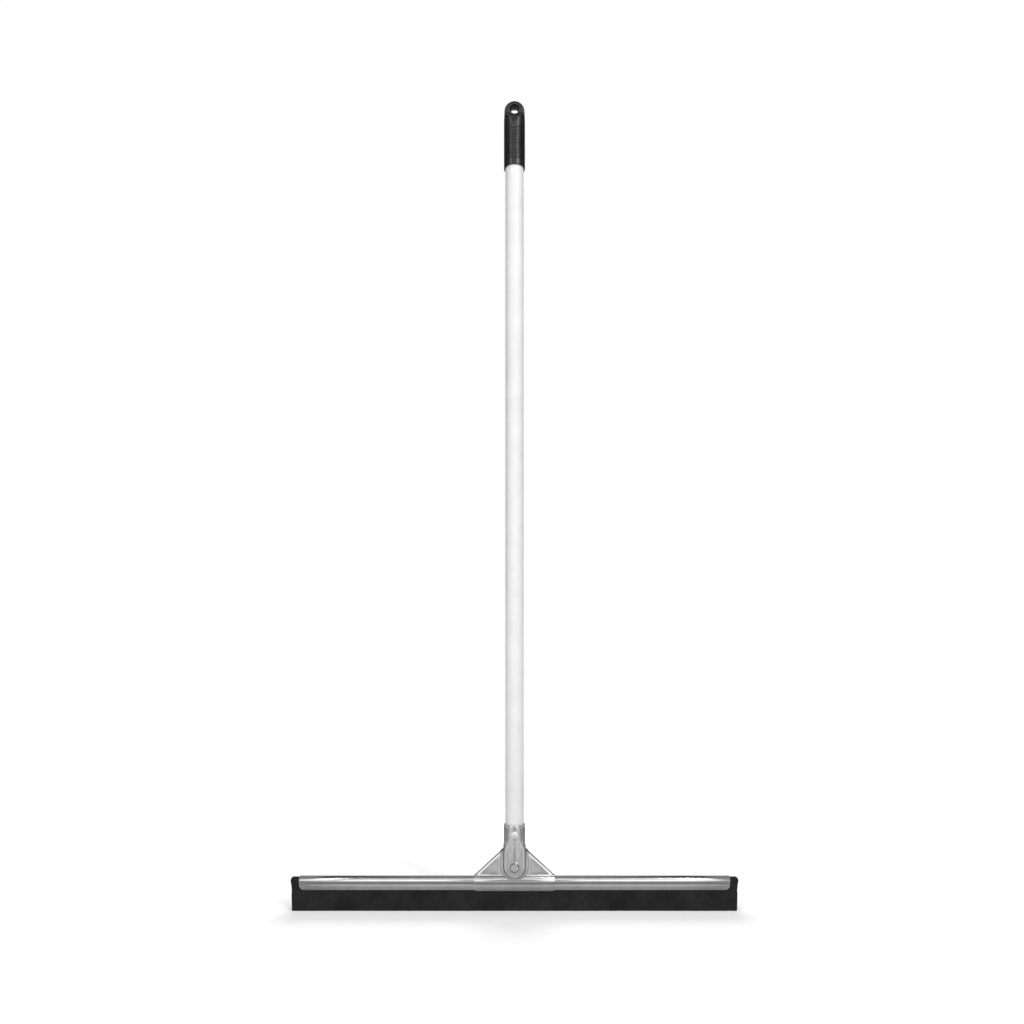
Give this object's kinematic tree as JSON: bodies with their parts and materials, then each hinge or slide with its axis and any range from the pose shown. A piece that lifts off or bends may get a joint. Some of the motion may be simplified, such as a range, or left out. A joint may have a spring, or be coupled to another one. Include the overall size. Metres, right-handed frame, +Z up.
{
  "type": "floor squeegee",
  "caption": "Floor squeegee: folded rubber blade in a rolled steel channel, pressed bracket, riveted swivel socket, tube pole and a ribbed grip with a hanging eye.",
  "frame": {"origin": "on the floor under the middle of the blade", "axes": "+Z up along the pole at rest, +X along the blade, -Y towards the front with the screw's head"},
  "size_m": [0.6088, 0.0318, 1.0987],
  "materials": {
    "blade_rubber": "matt black cellular rubber",
    "rod_steel": "plain drawn steel",
    "channel_steel": "zinc-plated rolled sheet",
    "bracket_steel": "zinc-plated pressed sheet",
    "socket_steel": "zinc-plated rolled sheet",
    "rivet_steel": "bright steel",
    "screw_steel": "bright zinc-plated steel",
    "spacer_plastic": "natural nylon",
    "pole_coating": "satin white powder coat on steel tube",
    "plug_plastic": "moulded plastic",
    "grip_plastic": "satin black moulded plastic"
  },
  "bodies": {
    "head": {"blade_rubber": "blade_rubber", "blade_rod": "rod_steel", "blade_channel": "channel_steel", "bracket_front": "bracket_steel", "bracket_rear": "bracket_steel"},
    "handle": {"pivot_bush": "rod_steel", "pivot_rivet": "rivet_steel", "pivot_washers": "rivet_steel", "pivot_spacers": "spacer_plastic", "handle_socket": "socket_steel", "handle_screw": "screw_steel", "pole": "pole_coating", "pole_plug": "plug_plastic", "grip": "grip_plastic"}
  },
  "joints": [
    {"name": "handle_swivel", "type": "hinge", "parent": "head", "child": "handle", "pos_m": [0, 0, 0.0577], "axis": [0, 1, 0], "range_deg": [-55, 55]}
  ]
}
